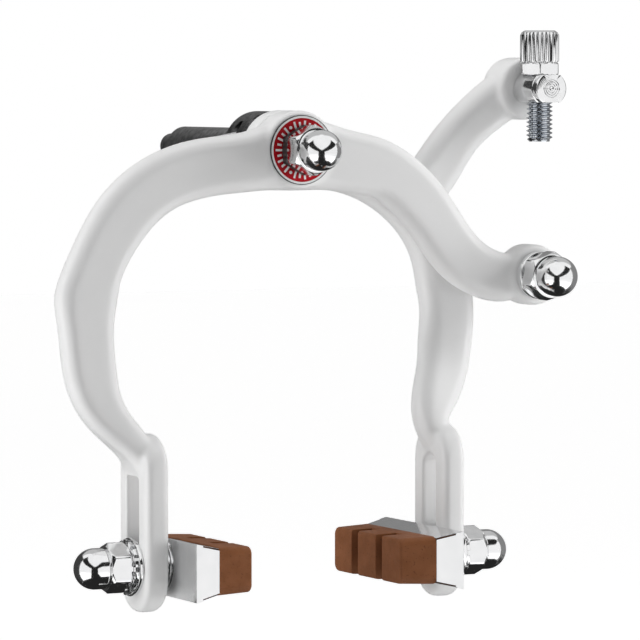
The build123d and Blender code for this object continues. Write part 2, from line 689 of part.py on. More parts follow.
def make_holder(side):
    """Folded sheet tray whose four walls lean in, open at its mitred corners."""
    half_taper = HOLDER_TAPER / 2
    slit_reach = 2 * (HOLDER_TAPER + SHEET_THICKNESS)
    with BuildPart() as holder:
        with BuildSketch(side_plane(side, holder_back)):
            Rectangle(HOLDER_LENGTH, HOLDER_HEIGHT)
        with BuildSketch(side_plane(side, holder_lip)):
            Rectangle(lip_length, lip_height)
        loft()
        with BuildSketch(side_plane(side, holder_floor)):
            Rectangle(HOLDER_LENGTH - 2 * SHEET_THICKNESS, HOLDER_HEIGHT - 2 * SHEET_THICKNESS)
        with BuildSketch(side_plane(side, holder_lip)):
            Rectangle(lip_length - 2 * SHEET_THICKNESS, lip_height - 2 * SHEET_THICKNESS)
        loft(mode=Mode.SUBTRACT)
        with BuildSketch(side_plane(side, holder_lip)):
            for end in (-1, 1):
                for edge in (-1, 1):
                    corner = (end * (lip_length / 2 + half_taper), edge * (lip_height / 2 + half_taper))
                    with Locations(corner):
                        Rectangle(slit_reach, CORNER_SLIT, rotation=45 * end * edge)
        extrude(amount=HOLDER_DEPTH - 2 * SHEET_THICKNESS, mode=Mode.SUBTRACT)
        with BuildSketch(side_plane(side, holder_floor)):
            Circle(thread_radius)
        extrude(amount=SHEET_THICKNESS, mode=Mode.SUBTRACT)
    return holder


def make_brake_block(side):
    """Rubber block with three lands, its root filling the holder round the stud's head."""
    land_pitch = CENTRE_LAND + GROOVE_WIDTH
    with BuildPart() as block:
        with BuildSketch(side_plane(side, holder_lip)):
            Rectangle(RUBBER_BASE_LENGTH, RUBBER_BASE_HEIGHT)
        with BuildSketch(side_plane(side, rubber_face)):
            Rectangle(RUBBER_FACE_LENGTH, RUBBER_FACE_HEIGHT)
        loft()
        ends = block.faces().sort_by(Axis.X)
        face = ends[-1] if side < 0 else ends[0]
        base = ends[0] if side < 0 else ends[-1]
        long_edges = block.edges() - face.edges() - base.edges()
        fillet(long_edges, RUBBER_CORNER)
        ends = block.faces().sort_by(Axis.X)
        face = ends[-1] if side < 0 else ends[0]
        fillet(face.edges(), RUBBER_EDGE)
        with BuildSketch(side_plane(side, rubber_face)):
            with Locations((-land_pitch / 2, 0), (land_pitch / 2, 0)):
                Rectangle(GROOVE_WIDTH, 2 * RUBBER_BASE_HEIGHT)
        extrude(amount=GROOVE_DEPTH, mode=Mode.SUBTRACT)
        with BuildSketch(side_plane(side, holder_floor)):
            Rectangle(HOLDER_LENGTH - 2 * SHEET_THICKNESS, HOLDER_HEIGHT - 2 * SHEET_THICKNESS)
        with BuildSketch(side_plane(side, holder_lip)):
            Rectangle(lip_length - 2 * SHEET_THICKNESS, lip_height - 2 * SHEET_THICKNESS)
        loft()
        with BuildSketch(side_plane(side, holder_floor)):
            Circle(STUD_HEAD_DIA / 2)
        extrude(amount=-STUD_HEAD_THICKNESS, mode=Mode.SUBTRACT)
    return block


for side, hand in ((-1, "left"), (1, "right")):
    flat_washer = make_washer(side_plane(side, flat_seat), FLAT_WASHER_DIA, FLAT_WASHER_THICKNESS)
    export_node(flat_washer, f"{hand}_flat_washer")
    lock_washer = make_lock_washer(side_plane(side, lock_seat))
    export_node(lock_washer, f"{hand}_lock_washer")
    cap_nut = make_cap_nut(side_plane(side, nut_seat), FLATS_UPRIGHT, RUNNING_PLAY)
    export_node(cap_nut, f"{hand}_shoe_cap_nut")
    inner_washer = make_washer(side_plane(side, holder_back), INNER_WASHER_DIA, INNER_WASHER_THICKNESS)
    export_node(inner_washer, f"{hand}_inner_washer")
    stud = make_stud(side)
    export_node(stud, f"{hand}_shoe_stud")
    holder = make_holder(side)
    export_node(holder, f"{hand}_shoe_holder")
    brake_block = make_brake_block(side)
    export_node(brake_block, f"{hand}_brake_block")
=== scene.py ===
"""Looks of a side-pull caliper brake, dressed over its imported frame.

Sizes are in millimetres in the part's own frame: X to the right, Y to the rear and Z up. A depth
is a distance forward of the spring block's back face, which is minus Y.
"""

import json
import logging
import math
from collections.abc import Callable, Iterator, Sequence
from dataclasses import dataclass, replace
from enum import Enum

import bmesh
import bpy
import numpy as np
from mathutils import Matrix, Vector

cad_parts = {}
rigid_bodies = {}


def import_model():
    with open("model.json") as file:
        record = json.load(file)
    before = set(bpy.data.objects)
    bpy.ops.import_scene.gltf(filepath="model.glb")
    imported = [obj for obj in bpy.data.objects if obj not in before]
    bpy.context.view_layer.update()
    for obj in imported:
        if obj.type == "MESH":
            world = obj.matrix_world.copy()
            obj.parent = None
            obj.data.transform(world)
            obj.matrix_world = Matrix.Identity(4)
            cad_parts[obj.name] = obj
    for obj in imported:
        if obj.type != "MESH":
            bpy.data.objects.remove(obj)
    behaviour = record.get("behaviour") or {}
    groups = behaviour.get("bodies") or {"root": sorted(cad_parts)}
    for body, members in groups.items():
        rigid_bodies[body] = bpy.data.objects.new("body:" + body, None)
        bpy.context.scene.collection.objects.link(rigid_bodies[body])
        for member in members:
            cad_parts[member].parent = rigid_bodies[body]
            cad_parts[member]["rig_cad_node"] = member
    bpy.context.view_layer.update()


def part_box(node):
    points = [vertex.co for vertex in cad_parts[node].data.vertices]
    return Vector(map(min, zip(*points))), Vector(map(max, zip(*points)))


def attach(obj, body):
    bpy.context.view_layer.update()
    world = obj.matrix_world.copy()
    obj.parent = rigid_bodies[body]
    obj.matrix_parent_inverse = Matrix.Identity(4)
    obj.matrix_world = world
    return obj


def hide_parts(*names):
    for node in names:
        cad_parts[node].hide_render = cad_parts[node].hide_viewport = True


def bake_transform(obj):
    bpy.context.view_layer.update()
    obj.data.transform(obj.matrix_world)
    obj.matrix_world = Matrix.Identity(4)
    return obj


MM = 0.001
SHARP_EDGE = math.radians(32)
BROKEN_EDGE = math.radians(40)
FLAT_BEND = math.radians(0.6)
WELD_DISTANCE = 1e-7
NODE_WELD_DISTANCE = 1e-6
SLIVER_LENGTH = 1e-8
CHAMFER_CURVE = 1.6
SMOOTHING_WEIGHTS = (0.55, -0.50)
NUT_STEPS = 120
DISC_STEPS = 128
UP = Vector((0, 0, 1)).freeze()
FORWARD = Vector((0, -1, 0)).freeze()
RIGHT = Vector((1, 0, 0)).freeze()
WHITE = (1.0, 1.0, 1.0, 1.0)
BLACK = (0.0, 0.0, 0.0, 1.0)
LOG = logging.getLogger("caliper_brake")

Row = tuple[float, float]
Colour = tuple[float, float, float]
Limit = Callable[[np.ndarray], np.ndarray]
Piece = bpy.types.Object
Node = bpy.types.Node
Tree = bpy.types.NodeTree
Socket = bpy.types.NodeSocket
Inputs = dict[str | int, Socket | float | tuple[float, ...]]


class Slot(Enum):
    """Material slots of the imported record."""

    PAINT = "white_paint"
    CHROME = "chrome"
    DARK = "dark_steel"
    GREY = "grey_steel"
    SPRING = "spring_steel"
    BADGE = "red_badge"
    RUBBER = "brown_rubber"


class Relief(Enum):
    """Kinds of fine relief that a finish can have."""

    GRAIN = "grain"
    STREAKS = "streaks"
    RINGS = "rings"


class Side(Enum):
    """The two legs of the caliper, as the sign of their X."""

    LEFT = -1
    RIGHT = 1

    @property
    def prefix(self) -> str:
        """Start of the names of this side's nodes."""
        return self.name.lower()


def fill(tree: Tree, node: Node, inputs: Inputs) -> None:
    """Link a node's inputs, or set their plain values.

    Args:
        tree: The nodes of the material or world.
        node: The node.
        inputs: A socket or a plain value for each input.
    """
    for key, value in inputs.items():
        if isinstance(value, Socket):
            tree.links.new(value, node.inputs[key])
        else:
            node.inputs[key].default_value = value


def add_node(tree: Tree, kind: str, inputs: Inputs, **settings: str) -> Node:
    """Add a shader node.

    Args:
        tree: The nodes of the material or world.
        kind: Its type, without the word ShaderNode.
        inputs: A socket or a plain value for each input.
        settings: Its own settings, such as an operation.

    Returns:
        The node.
    """
    node = tree.nodes.new(f"ShaderNode{kind}")
    for key, value in settings.items():
        setattr(node, key, value)
    fill(tree, node, inputs)
    return node


def new_material(name: str) -> tuple[bpy.types.Material, Tree, Node]:
    """Make a material.

    Args:
        name: Name of the material.

    Returns:
        The material, its nodes and its shader.
    """
    material = bpy.data.materials.new(name)
    material.use_nodes = True
    return material, material.node_tree, material.node_tree.nodes["Principled BSDF"]


@dataclass(frozen=True)
class Finish:
    """A procedural finish: two close tones, a span of roughness and a fine relief.

    Scales are in features per metre and relief_depth is in metres.
    """

    name: str
    slot: Slot
    colour: Colour
    second_colour: Colour
    roughness: Row
    metallic: float = 0.0
    tone_scale: float = 160.0
    grain_scale: float = 900.0
    relief_depth: float = 6e-6
    relief: Relief = Relief.GRAIN
    stretch: Colour = (1.0, 1.0, 1.0)
    centre: Colour = (0.0, 0.0, 0.0)
    coat: float = 0.0
    coat_roughness: float = 0.05
    specular: float = 0.5
    speckle: float = 0.0
    speckle_scale: float = 2600.0
    speckle_span: Row = (0.66, 0.74)
    speckle_shade: float = 0.25
    tone_span: Row = (0.32, 0.68)
    gloss_span: Row = (0.3, 0.7)
    smear_rate: float = 2.3

    def material(self) -> bpy.types.Material:
        """Build the material, or find the one already built.

        Returns:
            The material with this finish's name.
        """
        made = bpy.data.materials.get(self.name)
        if made:
            return made
        made, tree, shader = new_material(self.name)
        made.diffuse_color = (*self.colour, 1.0)
        where = add_node(tree, "TexCoord", {}).outputs["Object"]
        patches = self._noise(tree, where, self.tone_scale, detail=3.0)
        base = self._ramp(tree, patches, self.tone_span, (self.colour, self.second_colour))
        if self.speckle:
            base = self._speckled(tree, where, base)
        smears = self._noise(tree, where, self.tone_scale * self.smear_rate, detail=5.0)
        spans = dict(zip(("From Min", "From Max", "To Min", "To Max"), self.gloss_span + self.roughness))
        gloss = add_node(tree, "MapRange", {**spans, "Value": smears})
        height = self._relief_height(tree, where)
        bump = add_node(tree, "Bump", {"Strength": 1.0, "Distance": self.relief_depth, "Height": height})
        looks = {
            "Base Color": base,
            "Metallic": self.metallic,
            "Roughness": gloss.outputs["Result"],
            "Normal": bump.outputs["Normal"],
            "Specular IOR Level": self.specular,
            "Coat Weight": self.coat,
            "Coat Roughness": self.coat_roughness,
        }
        fill(tree, shader, looks)
        return made

    def _ramp(self, tree: Tree, value: Socket, span: Row, ends: tuple[Colour, Colour]) -> Socket:
        """Add a ramp between two colours.

        Args:
            tree: The material's nodes.
            value: The value that the ramp reads.
            span: Where the ramp starts and ends.
            ends: The colours at its start and end.

        Returns:
            The ramp's colour.
        """
        ramp = add_node(tree, "ValToRGB", {"Fac": value})
        for element, position, colour in zip(ramp.color_ramp.elements, span, ends):
            element.position = position
            element.color = (*colour, 1.0)
        return ramp.outputs["Color"]

    def _noise(self, tree: Tree, where: Socket, scale: float, detail: float) -> Socket:
        """Add a noise texture.

        Args:
            tree: The material's nodes.
            where: Coordinates that the noise reads.
            scale: Features per metre.
            detail: Octaves of finer noise.

        Returns:
            The noise's value.
        """
        noise = add_node(tree, "TexNoise", {"Vector": where, "Scale": scale, "Detail": detail})
        return noise.outputs["Fac"]

    def _speckled(self, tree: Tree, where: Socket, base: Socket) -> Socket:
        """Darken the base colour in small scattered specks.

        Args:
            tree: The material's nodes.
            where: Coordinates that the specks read.
            base: The colour without specks.

        Returns:
            The colour with specks.
        """
        specks = self._noise(tree, where, self.speckle_scale, detail=1.0)
        share = self._ramp(tree, specks, self.speckle_span, ((0.0,) * 3, (self.speckle,) * 3))
        dark = (*(self.speckle_shade * c for c in self.colour), 1.0)
        mix = add_node(tree, "Mix", {"Factor": share, "A": base, "B": dark}, data_type="RGBA")
        return mix.outputs["Result"]

    def _relief_height(self, tree: Tree, where: Socket) -> Socket:
        """Height of the fine relief.

        Args:
            tree: The material's nodes.
            where: Coordinates that the relief reads.

        Returns:
            The height that the bump takes.
        """
        offset = tuple(-c * MM for c in self.centre)
        mapping = {"Vector": where, "Scale": self.stretch, "Location": offset}
        place = add_node(tree, "Mapping", mapping).outputs["Vector"]
        if self.relief is not Relief.RINGS:
            detail = 6.0 if self.relief is Relief.GRAIN else 2.0
            return self._noise(tree, place, self.grain_scale, detail)
        waves = {"Vector": place, "Scale": self.grain_scale, "Distortion": 0.6}
        rings = add_node(tree, "TexWave", waves, wave_type="RINGS", rings_direction="Y")
        return rings.outputs["Fac"]

    def dress(self, piece: Piece) -> Piece:
        """Give a piece this finish.

        Args:
            piece: The piece, or a CAD node's object.

        Returns:
            The same piece.
        """
        piece.data.materials.clear()
        piece.data.materials.append(self.material())
        return piece


GLOSS_PAINT = Finish(
    name="gloss_white_paint",
    slot=Slot.PAINT,
    colour=(0.80, 0.80, 0.80),
    second_colour=(0.812, 0.812, 0.81),
    roughness=(0.32, 0.37),
    tone_scale=40.0,
    grain_scale=420.0,
    relief_depth=7e-6,
    coat=0.3,
    coat_roughness=0.3,
)
CHROME = Finish(
    name="polished_chrome",
    slot=Slot.CHROME,
    colour=(0.83, 0.835, 0.84),
    second_colour=(0.88, 0.88, 0.885),
    roughness=(0.08, 0.15),
    metallic=1.0,
    tone_scale=420.0,
    grain_scale=1100.0,
    relief_depth=7e-6,
)
FOLDED_SHEET = replace(
    CHROME,
    name="plated_folded_sheet",
    roughness=(0.12, 0.20),
    grain_scale=420.0,
    relief_depth=1.6e-5,
    stretch=(1.0, 0.35, 1.0),
)
CUT_THREAD = replace(
    CHROME,
    name="cut_thread_steel",
    colour=(0.53, 0.56, 0.60),
    second_colour=(0.68, 0.70, 0.73),
    roughness=(0.12, 0.22),
)
DARK_OXIDE = Finish(
    name="dark_oxide_steel",
    slot=Slot.DARK,
    colour=(0.022, 0.022, 0.023),
    second_colour=(0.11, 0.11, 0.11),
    roughness=(0.26, 0.46),
    metallic=0.85,
    tone_scale=900.0,
    grain_scale=1600.0,
    relief_depth=3e-5,
)
GREY_ZINC = Finish(
    name="matt_grey_zinc",
    slot=Slot.GREY,
    colour=(0.11, 0.11, 0.111),
    second_colour=(0.25, 0.25, 0.252),
    roughness=(0.40, 0.54),
    metallic=0.9,
    tone_scale=700.0,
    grain_scale=2200.0,
    relief_depth=1.6e-5,
    relief=Relief.STREAKS,
    stretch=(1.0, 3.0, 1.0),
)
BRIGHT_WIRE = Finish(
    name="bright_spring_wire",
    slot=Slot.SPRING,
    colour=(0.66, 0.66, 0.67),
    second_colour=(0.80, 0.80, 0.81),
    roughness=(0.16, 0.30),
    metallic=1.0,
    grain_scale=2400.0,
    relief_depth=1.4e-5,
    relief=Relief.STREAKS,
    stretch=(0.12, 1.0, 1.0),
)
RED_ENAMEL = Finish(
    name="red_badge_enamel",
    slot=Slot.BADGE,
    colour=(0.36, 0.003, 0.008),
    second_colour=(0.46, 0.006, 0.014),
    roughness=(0.22, 0.34),
    tone_scale=300.0,
    specular=0.15,
)
WHITE_PRINT = Finish(
    name="white_badge_print",
    slot=Slot.BADGE,
    colour=(0.84, 0.84, 0.84),
    second_colour=(0.88, 0.88, 0.88),
    roughness=(0.25, 0.40),
    tone_scale=600.0,
)
BROWN_RUBBER = Finish(
    name="moulded_brown_rubber",
    slot=Slot.RUBBER,
    colour=(0.180, 0.065, 0.024),
    second_colour=(0.220, 0.083, 0.034),
    roughness=(0.55, 0.70),
    tone_scale=260.0,
    grain_scale=1900.0,
    relief_depth=5e-5,
    specular=0.22,
    speckle=0.6,
)


@dataclass(frozen=True)
class Seat:
    """Where a piece stands: the middle of its foot, its axis and where its angles start."""

    foot: Vector
    axis: Vector
    zero: Vector

    def points(self, radii: np.ndarray, angles: np.ndarray, heights: np.ndarray) -> np.ndarray:
        """Place points given by radius, angle and height.

        Args:
            radii: Distances from the axis.
            angles: Turns about the axis, in radians.
            heights: Distances along the axis from the foot.

        Returns:
            The points in the part's frame, one row each.
        """
        side = self.axis.cross(self.zero)
        flat = [np.ravel(values) for values in np.broadcast_arrays(radii, angles, heights)]
        along = np.outer(flat[2], np.array(self.axis))
        across = np.outer(flat[0] * np.cos(flat[1]), np.array(self.zero))
        return np.array(self.foot) + along + across + np.outer(flat[0] * np.sin(flat[1]), np.array(side))

    def raised(self, height: float) -> "Seat":
        """The same seat, moved along its axis."""
        return replace(self, foot=self.foot + self.axis * height)


def add_object(name: str, data: bpy.types.ID) -> Piece:
    """Add an object to the scene.

    Args:
        name: Name of the object.
        data: Its mesh, lamp or camera data.

    Returns:
        The object.
    """
    added = bpy.data.objects.new(name, data)
    bpy.context.scene.collection.objects.link(added)
    return added


def box_mm(node: str) -> tuple[Vector, Vector]:
    """Lowest and highest corner of a CAD node, in millimetres."""
    low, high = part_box(node)
    return low / MM, high / MM


def size_mm(node: str) -> Vector:
    """Size of a CAD node's box, in millimetres."""
    low, high = box_mm(node)
    return high - low


def box_seat(node: str, axis: Vector, zero: Vector) -> Seat:
    """Seat on the face of a CAD node's box that an axis rises from.

    Args:
        node: The CAD node.
        axis: The seat's axis, along X, Y or Z.
        zero: Where its angles start.

    Returns:
        The seat, in the middle of that face.
    """
    low, high = box_mm(node)
    foot = (low + high) / 2
    for number, part in enumerate(axis):
        if part:
            foot[number] = low[number] if part > 0 else high[number]
    return Seat(foot, axis, zero)


def new_piece(name: str, points: np.ndarray, faces: Sequence[Sequence[int]]) -> Piece:
    """Make a mesh piece with outward normals, smooth but for its sharp edges.

    Args:
        name: Name of the piece.
        points: Corners in millimetres, one row each.
        faces: Corner numbers of each face.

    Returns:
        The new piece, in metres.
    """
    mesh = bpy.data.meshes.new(name)
    mesh.from_pydata((np.asarray(points) * MM).tolist(), [], faces)
    work = bmesh.new()
    work.from_mesh(mesh)
    bmesh.ops.remove_doubles(work, verts=work.verts, dist=WELD_DISTANCE)
    bmesh.ops.dissolve_degenerate(work, edges=work.edges, dist=SLIVER_LENGTH)
    bmesh.ops.recalc_face_normals(work, faces=work.faces)
    work.to_mesh(mesh)
    work.free()
    mesh.shade_smooth()
    mesh.set_sharp_from_angle(angle=SHARP_EDGE)
    return add_object(name, mesh)


def turned(
    name: str,
    seat: Seat,
    rows: Sequence[Row],
    limit: Limit | None = None,
    segments: int = 96,
    hollow: bool = False,
) -> Piece:
    """Make a turned piece, milled back to a limit where one is given.

    Args:
        name: Name of the piece.
        seat: Where the piece stands.
        rows: Radius and height of each corner of the profile.
        limit: Largest radius at each angle, or None.
        segments: Steps round the axis.
        hollow: True if the profile is a closed loop round a bore.

    Returns:
        The new piece.
    """
    angles = np.arange(segments) * 2 * math.pi / segments
    radii = np.repeat(np.array([[radius] for radius, _ in rows]), segments, axis=1)
    if limit is not None:
        radii = np.minimum(radii, limit(angles)[None, :])
    heights = np.array([[height] for _, height in rows])
    points = seat.points(radii, angles[None, :], heights)
    return new_piece(name, points, tube_faces(len(rows), segments, hollow))


def tube_faces(rings: int, sides: int, closed: bool) -> list[tuple[int, ...]]:
    """Quads between rings of corners, with an end face on each side of an open run.

    Args:
        rings: Number of rings.
        sides: Corners of each ring.
        closed: True if the last ring joins the first.

    Returns:
        The corner numbers of each face.
    """
    faces = []
    for ring in range(rings if closed else rings - 1):
        low, high = ring * sides, (ring + 1) % rings * sides
        for step in range(sides):
            after = (step + 1) % sides
            faces.append((low + step, low + after, high + after, high + step))
    if not closed:
        faces.append(tuple(range(sides)))
        faces.append(tuple((rings - 1) * sides + step for step in range(sides)))
    return faces


def rounded_line(points: Sequence[Vector], radius: float, steps: int = 8) -> list[Vector]:
    """Round the inner corners of a line.

    Args:
        points: Corners of the line.
        radius: Radius of every corner.
        steps: Points on each arc.

    Returns:
        The points of the rounded line.
    """
    line = [points[0]]
    for before, corner, after in zip(points, points[1:], points[2:]):
        back, ahead = (before - corner).normalized(), (after - corner).normalized()
        half = back.angle(ahead) / 2
        reach = radius / math.tan(half)
        middle = corner + (back + ahead).normalized() * radius / math.sin(half)
        start, end = corner + back * reach - middle, corner + ahead * reach - middle
        for step in range(steps + 1):
            line.append(middle + start.slerp(end, step / steps))
    line.append(points[-1])
    return line


def wire(name: str, line: Sequence[Vector], radius: float, sides: int = 24) -> Piece:
    """Make a round wire with slightly rounded ends.

    Args:
        name: Name of the piece.
        line: Points of its centreline.
        radius: Radius of the wire.
        sides: Corners of its section.

    Returns:
        The new piece.
    """
    along = [(b - a).normalized() for a, b in zip(line, line[1:])]
    tangents = [along[0]] + [(a + b).normalized() for a, b in zip(along, along[1:])] + [along[-1]]
    edge = 0.2 * radius
    stations = [(line[0], radius - edge, tangents[0])]
    stations += [(line[0] + tangents[0] * edge, radius, tangents[0])]
    stations += [(point, radius, tangent) for point, tangent in zip(line[1:-1], tangents[1:-1])]
    stations += [(line[-1] - tangents[-1] * edge, radius, tangents[-1])]
    stations += [(line[-1], radius - edge, tangents[-1])]
    side = tangents[0].cross(Vector((0, 1, 0))).normalized()
    rings = []
    for middle, size, tangent in stations:
        side = (side - tangent * side.dot(tangent)).normalized()
        seat = Seat(middle, tangent, side)
        turns = np.arange(sides) * 2 * math.pi / sides
        rings.append(seat.points(np.array(size), turns, np.array(0.0)))
    return new_piece(name, np.concatenate(rings), tube_faces(len(rings), sides, False))


@dataclass(frozen=True)
class Thread:
    """A coarse metric thread, cut as one helical ridge."""

    radius: float = 3.0
    pitch: float = 1.0
    depth: float = 0.6
    crest_end: float = 0.14
    root_start: float = 0.45
    root_end: float = 0.69
    end_step: float = 0.1
    steps: int = 72

    def rod(self, name: str, seat: Seat, length: float) -> Piece:
        """Make a threaded rod with its two ends cut to a cone.

        Args:
            name: Name of the piece.
            seat: Where its lower end stands.
            length: Length of the rod.

        Returns:
            The new piece.
        """
        root = self.radius - self.depth
        corners = ((0.0, self.radius), (self.crest_end, self.radius))
        corners += ((self.root_start, root), (self.root_end, root))
        turns = math.ceil(length / self.pitch) + 2
        total = turns * self.steps
        stride = len(corners)
        step = np.arange(total + 1)[:, None]
        share = np.array([corner[0] for corner in corners])[None, :]
        radii = np.broadcast_to(np.array([corner[1] for corner in corners]), (total + 1, stride))
        heights = np.clip(self.pitch * (step / self.steps + share - 1), 0.0, length)
        end_radius = root - self.end_step
        cone = end_radius + np.minimum(heights, length - heights)
        angles = step * 2 * math.pi / self.steps
        points = seat.points(np.minimum(radii, cone), angles, heights)
        faces = []
        for number in range(total):
            here, after = number * stride, (number + 1) * stride
            for corner in range(stride - 1):
                faces.append((here + corner, after + corner, after + corner + 1, here + corner + 1))
            if number + self.steps < total:
                above = (number + self.steps) * stride
                faces.append((here + stride - 1, after + stride - 1, above + stride, above))
        disc = np.arange(self.steps) * 2 * math.pi / self.steps
        for height in (0.0, length):
            first = len(points)
            end = seat.points(np.array(end_radius), disc, np.array(height))
            points = np.concatenate([points, end])
            faces.append(tuple(range(first, first + self.steps)))
        return new_piece(name, points, faces)


def hexagon(flats: float, turn: float = 0.0, corner_share: float = 0.985) -> Limit:
    """Limit of a hexagonal bar with slightly broken corners.

    Args:
        flats: Distance across the flats.
        turn: Turn of a corner from the zero direction, in degrees.
        corner_share: Share of the corner's radius that is left.

    Returns:
        The largest radius at each angle.
    """
    sixth = math.pi / 3

    def radius(angles: np.ndarray) -> np.ndarray:
        """Radius of the hexagon at each angle."""
        from_flat = np.mod(angles - math.radians(turn), sixth) - sixth / 2
        return np.minimum(flats / 2 / np.cos(from_flat), corner_share * flats / math.sqrt(3))

    return radius


def forged_copy(name: str, node: str, voxel: float, rounds: int) -> Piece:
    """Copy a CAD node as a forging whose edges and joins have run soft.

    Args:
        name: Name of the piece.
        node: The CAD node that it stands for.
        voxel: Size of the cells that the copy is built from, in millimetres.
        rounds: Rounds of smoothing.

    Returns:
        The new piece.
    """
    source = add_object(name, bpy.data.objects[node].data.copy())
    remesh = source.modifiers.new("cells", "REMESH")
    remesh.mode = "VOXEL"
    remesh.voxel_size = voxel * MM
    ready = source.evaluated_get(bpy.context.evaluated_depsgraph_get())
    mesh = bpy.data.meshes.new_from_object(ready)
    source.modifiers.clear()
    source.data = mesh
    source.data.name = name
    points = np.empty(len(mesh.vertices) * 3)
    mesh.vertices.foreach_get("co", points)
    points = points.reshape(-1, 3)
    ends = np.empty(len(mesh.edges) * 2, int)
    mesh.edges.foreach_get("vertices", ends)
    first, second = ends.reshape(-1, 2).T
    degree = np.bincount(np.concatenate([first, second]), minlength=len(points))[:, None]
    for _ in range(rounds):
        for weight in SMOOTHING_WEIGHTS:
            total = np.zeros_like(points)
            for axis in range(3):
                total[:, axis] += np.bincount(first, points[second, axis], len(points))
                total[:, axis] += np.bincount(second, points[first, axis], len(points))
            points += weight * (total / degree - points)
    mesh.vertices.foreach_set("co", points.ravel())
    mesh.update()
    mesh.shade_smooth()
    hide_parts(node)
    return source


def soften_node(node: str, finish: Finish, edge: float) -> None:
    """Dress a CAD node and break its sharp edges.

    Args:
        node: Name of the CAD node.
        finish: Its finish.
        edge: Width of the broken edges, in millimetres.
    """
    piece = bpy.data.objects[node]
    finish.dress(piece)
    weld = piece.modifiers.new("weld", "WELD")
    weld.merge_threshold = NODE_WELD_DISTANCE
    flats = piece.modifiers.new("flats", "DECIMATE")
    flats.decimate_type = "DISSOLVE"
    flats.angle_limit = FLAT_BEND
    broken = piece.modifiers.new("edges", "BEVEL")
    broken.width = edge * MM
    broken.segments = 2
    broken.limit_method = "ANGLE"
    broken.angle_limit = BROKEN_EDGE
    broken.harden_normals = True


def settle(piece: Piece, finish: Finish, body: str, node: str | None = None) -> None:
    """Dress a piece, put it on its body and log its name and face count.

    Args:
        piece: The piece.
        finish: Its finish.
        body: The body that carries it.
        node: The CAD node that it stands for, or None.
    """
    finish.dress(piece)
    if node:
        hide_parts(node)
    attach(piece, body)
    report(piece)


def report(piece: Piece) -> None:
    """Log a piece's name and face count."""
    LOG.info("%s: %d faces", piece.name, len(piece.data.polygons))


@dataclass
class CapNut:
    """An acorn nut: a chamfered hexagon under a polished dome."""

    node: str
    body: str
    axis: Vector
    zero: Vector
    flats: float = 10.0
    height: float = 12.0
    hexagon_height: float = 5.0
    dome_radius: float = 4.6
    corner_drop: float = 0.75
    foot_inset: float = 0.1
    neck: float = 0.22
    turn: float = 0.0
    chamfer_steps: int = 6
    dome_steps: int = 22
    tip_radius: float = 0.02

    def build(self) -> None:
        """Build the nut over its CAD node."""
        seat = box_seat(self.node, self.axis, self.zero)
        outline = hexagon(self.flats, self.turn)
        piece = turned(f"{self.node}_polished", seat, self._profile(), outline, NUT_STEPS)
        settle(piece, CHROME, self.body, self.node)

    def _profile(self) -> list[Row]:
        """Radius and height of the nut's outline, from its seat to its tip.

        Returns:
            The rows of the profile.
        """
        corner = self.flats / math.sqrt(3)
        rise = corner - self.flats / 2
        shares = [step / self.chamfer_steps for step in range(self.chamfer_steps + 1)]
        start = self.flats / 2 - self.foot_inset
        spread = rise + self.foot_inset
        rows = [(start + spread * s, self.corner_drop * s ** CHAMFER_CURVE) for s in shares]
        top = self.hexagon_height
        rows += [(corner - rise * s, top - self.corner_drop * (1 - s ** CHAMFER_CURVE)) for s in shares]
        neck = self.dome_radius - self.neck
        rows += [(self.dome_radius + 0.12, top + 0.02), (neck, top + 0.16)]
        rows += [(neck, top + 0.34), (self.dome_radius, top + 0.62)]
        base = self.height - self.dome_radius
        for step in range(self.dome_steps + 1):
            angle = 0.5 * math.pi * step / self.dome_steps
            radius = max(self.dome_radius * math.cos(angle), self.tip_radius)
            rows.append((radius, base + self.dome_radius * math.sin(angle)))
        return rows


